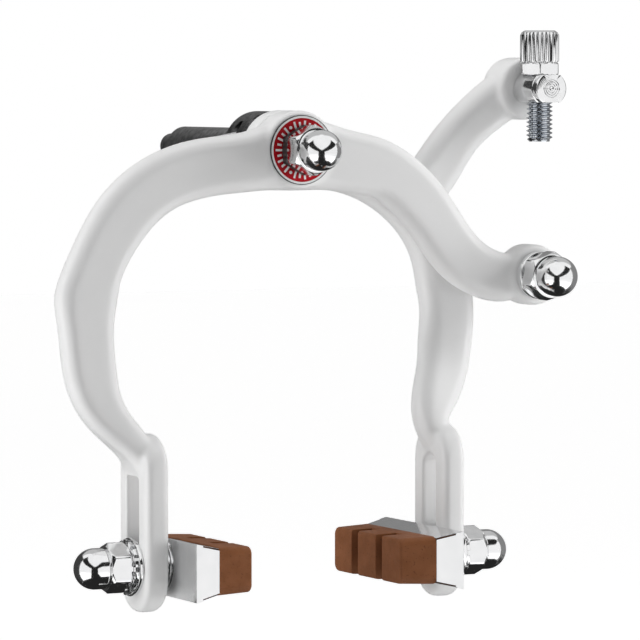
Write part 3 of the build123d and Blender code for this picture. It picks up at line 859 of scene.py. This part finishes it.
@dataclass
class CentreStack:
    """The centre bolt with its spring block, badge and nuts."""

    body: str = "centre_bolt"
    bore: float = 3.0
    mark_count: int = 30
    dot_spacing: int = 10
    dot_radius: float = 0.38
    dot_corners: int = 12
    long_mark: float = 0.85
    short_mark: float = 0.55
    mark_width: float = 0.5
    outline_width: float = 0.16
    rim_width: float = 0.62
    rim_gap: float = 0.55
    print_lift: float = 0.03
    nut_flats: float = 10.0
    nut_foot_edge: float = 0.4
    nut_top_edge: float = 0.45
    sleeve_radius: float = 4.7
    sleeve_bore: float = 3.05
    sleeve_edge: float = 0.6
    sleeve_length: float = 40.0

    def build(self) -> None:
        """Build every piece of the stack."""
        CapNut("pivot_cap_nut", self.body, FORWARD, UP).build()
        self._adjusting_nut()
        self._badge()
        self._rear_sleeve()
        soften_node("spring_block", DARK_OXIDE, 0.15)
        soften_node("rear_washer", CHROME, 0.08)
        soften_node("middle_washer", CHROME, 0.08)

    def _adjusting_nut(self) -> None:
        """Thin nut between the badge and the cap nut."""
        low, high = box_mm("adjusting_nut")
        thickness = high.y - low.y
        corner = self.nut_flats / math.sqrt(3)
        half = self.nut_flats / 2
        rows = [(self.bore, 0.0), (half, 0.0), (corner, self.nut_foot_edge)]
        rows += [(corner, thickness - self.nut_top_edge), (half + 0.1, thickness), (self.bore, thickness)]
        seat = Seat(Vector((0, high.y, 0)), FORWARD, UP)
        nut = turned("adjusting_nut_cut", seat, rows, hexagon(self.nut_flats), NUT_STEPS, True)
        settle(nut, DARK_OXIDE, self.body, "adjusting_nut")

    def _badge(self) -> None:
        """Red badge with a pale rim and a ring of plain marks."""
        low, high = box_mm("badge_washer")
        radius = (high.x - low.x) / 2
        top = high.y - low.y
        seat = Seat(Vector((0, high.y, 0)), FORWARD, RIGHT)
        rim = radius - self.rim_width
        outline = radius - self.outline_width
        face = [(self.bore, 0.0), (outline, 0.0), (outline, top - 0.1), (rim, top - 0.1)]
        face += [(rim - 0.02, top - self.print_lift), (self.bore, top - self.print_lift)]
        edge = [(rim, top - 0.12), (outline, top - 0.12), (outline, top - 0.04)]
        edge += [(outline - 0.06, top), (rim, top)]
        dark = [(outline, 0.0), (radius, 0.0), (radius, top - 0.06), (radius - 0.04, top - 0.02)]
        dark += [(outline, top - 0.02)]
        badge = turned("badge_face", seat, face, segments=DISC_STEPS, hollow=True)
        settle(badge, RED_ENAMEL, self.body, "badge_washer")
        for name, rows, finish in (("badge_rim", edge, WHITE_PRINT), ("badge_outline", dark, DARK_OXIDE)):
            settle(turned(name, seat, rows, segments=DISC_STEPS, hollow=True), finish, self.body)
        marks = self._marks(seat.raised(top - 2 * self.print_lift), rim - self.rim_gap)
        settle(marks, WHITE_PRINT, self.body)

    def _marks(self, seat: Seat, outer: float) -> Piece:
        """Plain strokes and dots in a ring.

        Args:
            seat: Seat of the marks.
            outer: Radius that the strokes reach.

        Returns:
            The marks as one piece.
        """
        points: list[np.ndarray] = []
        faces: list[Sequence[int]] = []
        first = 0
        for number in range(self.mark_count):
            angle = 2 * math.pi * number / self.mark_count
            dot = number % self.dot_spacing == 0
            corners = self.dot_corners if dot else 4
            turns = (np.arange(corners) + 0.5) * 2 * math.pi / corners
            stroke = self.long_mark if number % 2 else self.short_mark
            long = self.dot_radius if dot else stroke
            wide = self.dot_radius if dot else self.mark_width / 2
            scale = 1.0 if dot else math.sqrt(2)
            radial = outer - self.long_mark + scale * long * np.cos(turns)
            across = scale * wide * np.sin(turns)
            radii = np.hypot(radial, across)
            angles = angle + np.arctan2(across, radial)
            for height in (0.0, 2 * self.print_lift):
                points.append(seat.points(radii, angles, np.full(corners, height)))
            faces += [tuple(first + corner for corner in face) for face in tube_faces(2, corners, False)]
            first += 2 * corners
        return new_piece("badge_marks", np.concatenate(points), faces)

    def _rear_sleeve(self) -> None:
        """Plain sleeve on the bolt's tail, with the bolt's end standing out of it."""
        length = self.sleeve_length
        seat = Seat(Vector((0, length, 0)), FORWARD, RIGHT)
        bore, radius, edge = self.sleeve_bore, self.sleeve_radius, self.sleeve_edge
        nick = 0.3 * edge
        rows = [(bore + 0.3, 0.0), (radius - edge, 0.0), (radius - nick, nick), (radius, edge)]
        rows += [(radius, length - edge), (radius - nick, length - nick), (radius - edge, length)]
        rows += [(bore, length), (bore, 0.3)]
        sleeve = turned("rear_sleeve", seat, rows, hollow=True)
        settle(sleeve, GREY_ZINC, self.body)
        soften_node("pivot_bolt", GREY_ZINC, 0.1)


@dataclass
class ReturnSpring:
    """The bent wire that opens both arms, as two halves, one at each arm's peg."""

    wire_radius: float = 1.15
    bridge_rise: float = 5.4
    half_bridge: float = 4.5
    bend_x: float = 15.4
    bend_z: float = 3.0
    bend_radius: float = 3.0
    depth: float = 5.0
    peg_reach: float = 1.2
    peg_gap: float = 0.3
    straight_steps: int = 14

    def build(self) -> None:
        """Build the two halves of the wire and dress the pegs."""
        for node, body in (("front_spring_peg", "front_arm"), ("rear_spring_peg", "rear_arm")):
            soften_node(node, CHROME, 0.2)
            line = self._half(node)
            piece = wire(f"return_spring_{body}_half", line, self.wire_radius)
            BRIGHT_WIRE.dress(piece)
            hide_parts("return_spring")
            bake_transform(piece)
            report(piece)

    def _half(self, peg_node: str) -> list[Vector]:
        """Centreline from the middle of the bridge to the end under a peg.

        Args:
            peg_node: The peg that this half pushes on.

        Returns:
            The points of the line.
        """
        low, high = box_mm(peg_node)
        peg = (low + high) / 2
        side = math.copysign(1.0, peg.x)
        peg_radius = (high.x - low.x) / 2
        bend = Vector((side * self.bend_x, -self.depth, self.bend_z))
        along = Vector((peg.x - bend.x, 0, peg.z - bend.z)).normalized()
        outward = Vector((-along.z, 0, along.x)) * side
        clearance = self.wire_radius + peg_radius + self.peg_gap
        end_depth = -high.y + self.peg_reach + self.wire_radius
        end = Vector((peg.x, -end_depth, peg.z)) - outward * clearance + along * self.peg_reach
        corners = [
            Vector((0, -self.depth, self.bridge_rise)),
            Vector((side * self.half_bridge, -self.depth, self.bridge_rise)),
            bend,
            end,
        ]
        line = rounded_line(corners, self.bend_radius)
        steps = self.straight_steps
        straight = [line[-2].lerp(line[-1], step / steps) for step in range(1, steps)]
        return line[:-1] + straight + line[-1:]


@dataclass
class Arms:
    """The two painted forgings."""

    voxel: float = 0.42
    rounds: int = 36

    def build(self) -> None:
        """Build the soft-edged arms over their CAD nodes."""
        for node in ("front_arm", "rear_arm"):
            piece = forged_copy(f"{node}_painted", node, self.voxel, self.rounds)
            settle(piece, GLOSS_PAINT, node)


@dataclass
class CableAnchor:
    """The bolt, washer and nut that pinch the cable on the front arm's tail."""

    body: str = "front_arm"
    nut_turn: float = 20.0

    def build(self) -> None:
        """Build the anchor's nut and dress its bolt and washer."""
        CapNut("anchor_cap_nut", self.body, FORWARD, RIGHT, turn=self.nut_turn).build()
        soften_node("clamp_washer", CHROME, 0.22)
        soften_node("anchor_bolt", CHROME, 0.12)


@dataclass
class BarrelGroup:
    """The swivelling cable stop, its ring, the barrel adjuster and its lock nut."""

    knob_radius: float = 4.5
    flute_count: int = 26
    flute_depth: float = 0.42
    flute_power: float = 2.2
    flute_steps: int = 10
    socket_radius: float = 2.6
    socket_depth: float = 6.0
    bore_radius: float = 1.25
    knob_height: float = 7.4
    nut_flats: float = 8.5
    nut_lift: float = 0.04
    nut_turn: float = -26.0
    bar_radius: float = 4.0
    bar_flats: float = 6.3
    groove_depth: float = 0.55
    stem_radius: float = 3.0
    bar_length: float = 11.2
    ring_count: int = 4
    ring_radius: float = 2.0
    ring_spacing: float = 0.5
    nut_bore: float = 2.9
    nut_edge: float = 0.4
    shank_overlap: float = 0.3
    thread: Thread = Thread()

    def build(self) -> None:
        """Build every piece of the group."""
        self._stop()
        self._barrel()
        self._lock_nut()
        soften_node("stop_retaining_ring", DARK_OXIDE, 0.1)

    def _stop(self) -> None:
        """Turned and flattened stub with rings on its face."""
        seat = box_seat("cable_stop", FORWARD, RIGHT)
        length = size_mm("cable_stop").y
        eye_front = length - self.bar_length
        flat = self.bar_flats / 2
        bar, stem, groove = self.bar_radius, self.stem_radius, self.bar_radius - self.groove_depth

        def limit(angles: np.ndarray) -> np.ndarray:
            """Radius of the milled bar at each angle."""
            return flat / np.maximum(np.abs(np.sin(angles)), 1e-3)

        rows = [(0.5, 0.0), (stem - 0.4, 0.0), (stem, 0.4), (stem, eye_front), (bar - 0.6, eye_front)]
        rows += [(bar, eye_front + 0.6), (bar, length - 2.5), (groove, length - 2.3)]
        rows += [(groove, length - 1.7), (bar, length - 1.5), (bar, length - 0.45)]
        rows += [(bar - 0.12, length - 0.14), (bar - 0.45, length)]
        for ring in range(self.ring_count):
            radius = self.ring_radius - self.ring_spacing * ring
            rows += [(radius + 0.12, length), (radius, length - 0.11), (radius - 0.12, length - 0.01)]
        rows += [(0.1, length - 0.2)]
        stop = turned("cable_stop_turned", seat, rows, limit, segments=DISC_STEPS)
        ringed = replace(
            CHROME,
            name="turned_stop_face",
            relief=Relief.RINGS,
            centre=(seat.foot.x, 0.0, seat.foot.z),
            grain_scale=900.0,
            relief_depth=1.0e-5,
        )
        settle(stop, ringed, "cable_stop", "cable_stop")

    def _barrel(self) -> None:
        """Fluted knob with its housing socket, and the threaded shank under it."""
        seat = box_seat("barrel_adjuster", UP, RIGHT)
        length = size_mm("barrel_adjuster").z - self.knob_height

        def limit(angles: np.ndarray) -> np.ndarray:
            """Radius of the fluted rim at each angle."""
            wave = 0.5 + 0.5 * np.cos(self.flute_count * angles)
            return self.knob_radius - self.flute_depth * wave ** self.flute_power

        top, radius, socket = self.knob_height, self.knob_radius, self.socket_radius
        rows = [(2.0, 0.0), (radius - 0.5, 0.0), (radius, 0.4), (radius, top - 1.1)]
        rows += [(radius - 0.35, top - 0.45), (radius - 0.9, top - 0.08), (radius - 1.1, top)]
        rows += [(socket + 0.25, top), (socket, top - 0.25), (socket, top - self.socket_depth)]
        rows += [(self.bore_radius, top - self.socket_depth), (self.bore_radius, 0.0)]
        segments = self.flute_count * self.flute_steps
        knob = turned("barrel_knob", seat.raised(length), rows, limit, segments, hollow=True)
        settle(knob, CHROME, "barrel", "barrel_adjuster")
        shank = self.thread.rod("barrel_shank", seat, length + self.shank_overlap)
        settle(shank, CUT_THREAD, "barrel")

    def _lock_nut(self) -> None:
        """Thin hexagonal nut on the shank."""
        height = size_mm("barrel_lock_nut").z
        corner = self.nut_flats / math.sqrt(3)
        half = self.nut_flats / 2
        spread, edge = corner - half, self.nut_edge
        shares = [step / 4 for step in range(5)]
        rows = [(self.nut_bore, self.nut_lift), (half, self.nut_lift)]
        rows += [(half + spread * s, edge * s ** CHAMFER_CURVE) for s in shares[2:]]
        rows += [(corner - spread * s, height - edge * (1 - s ** CHAMFER_CURVE)) for s in shares]
        rows += [(self.nut_bore, height)]
        seat = box_seat("barrel_lock_nut", UP, FORWARD)
        outline = hexagon(self.nut_flats, self.nut_turn)
        nut = turned("barrel_lock_nut_cut", seat, rows, outline, NUT_STEPS, True)
        settle(nut, CHROME, "lock_nut", "barrel_lock_nut")


@dataclass
class ShoeStack:
    """One shoe with its stud, washers and nut."""

    side: Side
    sheet_edge: float = 0.3
    rubber_edge: float = 0.7
    head_radius: float = 4.7
    head_height: float = 1.6
    thread_sink: float = 0.2
    thread: Thread = Thread()

    def build(self) -> None:
        """Build the nut and stud, and dress the washers, holder and block."""
        prefix = self.side.prefix
        CapNut(f"{prefix}_shoe_cap_nut", f"{prefix}_clamp", RIGHT * self.side.value, UP).build()
        soften_node(f"{prefix}_flat_washer", CHROME, 0.12)
        soften_node(f"{prefix}_inner_washer", CHROME, 0.12)
        soften_node(f"{prefix}_lock_washer", CHROME, 0.1)
        soften_node(f"{prefix}_shoe_holder", FOLDED_SHEET, self.sheet_edge)
        soften_node(f"{prefix}_brake_block", BROWN_RUBBER, self.rubber_edge)
        self._stud()

    def _stud(self) -> None:
        """Threaded stud with its flat head inside the holder."""
        node = f"{self.side.prefix}_shoe_stud"
        seat = box_seat(node, RIGHT * self.side.value, UP)
        radius, top = self.head_radius, self.head_height
        rows = [(radius - 0.3, 0.0), (radius, 0.3), (radius, top), (2.4, top)]
        body = f"{self.side.prefix}_shoe"
        settle(turned(f"{node}_head", seat, rows, segments=64), CHROME, body, node)
        start = self.head_height - self.thread_sink
        rod = self.thread.rod(f"{node}_thread", seat.raised(start), size_mm(node).x - start)
        settle(rod, CUT_THREAD, body)


@dataclass(frozen=True)
class Flag:
    """A dark card round the brake: its four corners as azimuth and elevation in degrees."""

    name: str
    corners: tuple[Row, Row, Row, Row]
    level: float
    steps: int = 14

    def directions(self) -> Iterator[Row]:
        """Spread points over the card, row by row.

        Yields:
            Azimuth and elevation of each point.
        """
        one, two, three, four = (np.array(corner) for corner in self.corners)
        shares = [step / self.steps for step in range(self.steps + 1)]
        for up in shares:
            for across in shares:
                low = one * (1 - across) + two * across
                high = four * (1 - across) + three * across
                yield tuple(low * (1 - up) + high * up)

    def faces(self) -> list[tuple[int, int, int, int]]:
        """Join neighbouring points.

        Returns:
            The corner numbers of each quad.
        """
        row = self.steps + 1
        return [
            (start, start + 1, start + row + 1, start + row)
            for line in range(self.steps)
            for start in range(line * row, line * row + self.steps)
        ]


CONTRAST_FLAGS = (
    Flag("camera_flag", ((-46, -26), (-8, -26), (-10, 10), (-42, 10)), 0.02),
    Flag("lower_wedge_flag", ((-66, -60), (14, -60), (-12, -20), (-40, -20)), 0.02),
    Flag("upper_left_flag", ((-42, 0), (-30, 10), (-98, 54), (-116, 30)), 0.02),
    Flag("upper_right_flag", ((-20, 10), (-8, 0), (68, 28), (52, 52)), 0.02),
    Flag("front_floor_flag", ((-140, -88), (84, -88), (84, -48), (-140, -48)), 0.02),
    Flag("back_floor_flag", ((84, -88), (220, -88), (220, -24), (84, -24)), 0.02),
    Flag("right_flag", ((70, -48), (114, -48), (114, 30), (70, 30)), 0.25),
    Flag("back_flag", ((114, -24), (182, -24), (182, 30), (114, 30)), 0.24),
    Flag("left_flag", ((182, -48), (250, -48), (250, 34), (182, 34)), 0.05),
    Flag("high_back_flag", ((90, 30), (220, 30), (220, 80), (90, 80)), 0.55),
)


@dataclass(frozen=True)
class SoftBox:
    """A lamp that faces the brake: its middle, its width and height, and its power in watts."""

    name: str
    place: Colour
    size: Row
    watts: float


SOFT_BOXES = (
    SoftBox("top_box", (80.0, -40.0, 640.0), (420.0, 300.0), 1.8),
    SoftBox("left_box", (-600.0, 60.0, 60.0), (260.0, 520.0), 2.2),
    SoftBox("right_box", (430.0, -230.0, 20.0), (160.0, 420.0), 1.65),
)


@dataclass
class Studio:
    """Pale floor, soft light and the camera at the photograph's angle."""

    azimuth: float = -26.0
    elevation: float = 3.0
    distance: float = 1030.0
    focal_pixels: float = 4573.0
    image_pixels: float = 640.0
    target: Colour = (4.4, -24.5, -38.3)
    floor_height: float = -260.0
    floor_size: float = 9000.0
    sensor: float = 36.0
    flag_distance: float = 420.0
    floor_gap: float = 20.0
    floor_tone: float = 0.9
    floor_roughness: float = 0.8
    floor_glow: float = 0.55
    world_strength: float = 0.72
    front_tone: Colour = (0.22, 0.22, 0.222)
    back_tone: Colour = (0.82, 0.82, 0.82)
    middle_tones: tuple[Row, ...] = ((0.22, 0.30), (0.42, 0.56), (0.62, 0.76))
    flags: tuple[Flag, ...] = CONTRAST_FLAGS
    lamps: tuple[SoftBox, ...] = SOFT_BOXES

    def build(self) -> None:
        """Set up the camera, the light, the floor and the flags."""
        bpy.context.scene.view_settings.view_transform = "Standard"
        self._camera()
        self._world()
        self._floor()
        for box in self.lamps:
            self._lamp(box)
        for flag in self.flags:
            self._card(flag)

    def _way(self, azimuth: float, elevation: float) -> Vector:
        """Find a direction from the brake.

        Args:
            azimuth: Turn from the front, in degrees.
            elevation: Rise from the level, in degrees.

        Returns:
            The unit vector that way.
        """
        turn, rise = math.radians(azimuth), math.radians(elevation)
        level = math.cos(rise)
        return Vector((math.sin(turn) * level, -math.cos(turn) * level, math.sin(rise)))

    def _toward(self, azimuth: float, elevation: float) -> Vector:
        """Find a place for a card, at the flags' distance or just over the floor.

        Args:
            azimuth: Turn from the front, in degrees.
            elevation: Rise from the level, in degrees.

        Returns:
            The place, in millimetres.
        """
        way = self._way(azimuth, elevation)
        reach = self.flag_distance
        if way.z < 0:
            reach = min(reach, (self.target[2] - self.floor_height - self.floor_gap) / -way.z)
        return Vector(self.target) + way * reach

    def _camera(self) -> None:
        """Camera with the photograph's direction, distance and lens."""
        back = self._way(self.azimuth, self.elevation)
        data = bpy.data.cameras.new("camera")
        data.sensor_width = self.sensor
        data.lens = self.focal_pixels / self.image_pixels * self.sensor
        data.clip_start, data.clip_end = 0.01, 30.0
        camera = add_object("camera", data)
        camera.location = (Vector(self.target) + back * self.distance) * MM
        camera.rotation_mode = "QUATERNION"
        camera.rotation_quaternion = (-back).to_track_quat("-Z", "Y")
        bpy.context.scene.camera = camera

    def _world(self) -> None:
        """White backdrop, with softer light from the camera's side."""
        world = bpy.data.worlds.new("studio")
        world.use_nodes = True
        bpy.context.scene.world = world
        tree = world.node_tree
        tree.nodes.clear()
        place = add_node(tree, "TexCoord", {})
        parts = add_node(tree, "SeparateXYZ", {"Vector": place.outputs["Generated"]})
        reach = add_node(tree, "MapRange", {"From Min": -1.0, "Value": parts.outputs["Y"]})
        front = add_node(tree, "ValToRGB", {"Fac": reach.outputs["Result"]})
        ramp = front.color_ramp
        ramp.elements[0].position, ramp.elements[0].color = 0.0, (*self.front_tone, 1.0)
        ramp.elements[1].position, ramp.elements[1].color = 1.0, (*self.back_tone, 1.0)
        for position, level in self.middle_tones:
            element = ramp.elements.new(position)
            element.color = (level, level, level, 1.0)
        light = {"Color": front.outputs["Color"], "Strength": self.world_strength}
        lit = add_node(tree, "Background", light).outputs["Background"]
        plain = add_node(tree, "Background", {"Color": WHITE}).outputs["Background"]
        mix = add_node(tree, "MixShader", {"Fac": self._seen(tree), 1: lit, 2: plain})
        add_node(tree, "OutputWorld", {"Surface": mix.outputs["Shader"]})

    def _floor(self) -> None:
        """Pale floor well under the hanging brake."""
        half = self.floor_size / 2
        z = self.floor_height
        corners = np.array([(x * half, y * half, z) for x, y in ((-1, -1), (1, -1), (1, 1), (-1, 1))])
        floor = new_piece("floor", corners, [(0, 1, 2, 3)])
        material, tree, shader = new_material("pale_floor")
        tone = (*(self.floor_tone,) * 3, 1.0)
        fill(tree, shader, {"Base Color": tone, "Roughness": self.floor_roughness})
        level = add_node(tree, "Math", {0: self._seen(tree), 1: self.floor_glow}, operation="MULTIPLY")
        glow = add_node(tree, "Emission", {"Strength": level.outputs["Value"]})
        both = add_node(tree, "AddShader", {0: shader.outputs["BSDF"], 1: glow.outputs["Emission"]})
        fill(tree, tree.nodes["Material Output"], {"Surface": both.outputs["Shader"]})
        floor.data.materials.append(material)

    def _seen(self, tree: Tree) -> Socket:
        """One for rays that show the backdrop, to the camera or in a mirror or glass.

        Args:
            tree: The nodes of the world or the material.

        Returns:
            The largest of the three ray flags.
        """
        rays = add_node(tree, "LightPath", {})
        seen = rays.outputs["Is Camera Ray"]
        for kind in ("Is Glossy Ray", "Is Transmission Ray"):
            pair = {0: seen, 1: rays.outputs[kind]}
            seen = add_node(tree, "Math", pair, operation="MAXIMUM").outputs["Value"]
        return seen

    def _card(self, flag: Flag) -> None:
        """Add a dark card that only shows as a reflection in metal and gloss.

        Args:
            flag: Its corners and level.
        """
        points = np.array([tuple(self._toward(*way)) for way in flag.directions()])
        card = new_piece(flag.name, points, flag.faces())
        material, tree, shader = new_material(f"{flag.name}_cloth")
        glow = {"Emission Color": WHITE, "Emission Strength": flag.level}
        fill(tree, shader, {"Base Color": BLACK, "Specular IOR Level": 0.0, **glow})
        card.data.materials.append(material)
        card.visible_camera = False
        card.visible_diffuse = False
        card.visible_shadow = False
        card.visible_transmission = False

    def _lamp(self, box: SoftBox) -> None:
        """Add a soft box that faces the brake.

        Args:
            box: Its place, size and power.
        """
        data = bpy.data.lights.new(box.name, "AREA")
        data.shape = "RECTANGLE"
        data.size, data.size_y = box.size[0] * MM, box.size[1] * MM
        data.energy = box.watts
        lamp = add_object(box.name, data)
        lamp.visible_glossy = False
        place = Vector(box.place)
        lamp.location = place * MM
        lamp.rotation_mode = "QUATERNION"
        lamp.rotation_quaternion = (Vector(self.target) - place).to_track_quat("-Z", "Y")


def main() -> None:
    """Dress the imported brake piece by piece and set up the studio."""
    logging.basicConfig(level=logging.INFO, format="%(name)s: %(message)s")
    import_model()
    Studio().build()
    Arms().build()
    CentreStack().build()
    ReturnSpring().build()
    CableAnchor().build()
    BarrelGroup().build()
    for side in Side:
        ShoeStack(side).build()


if __name__ == "__main__":
    main()
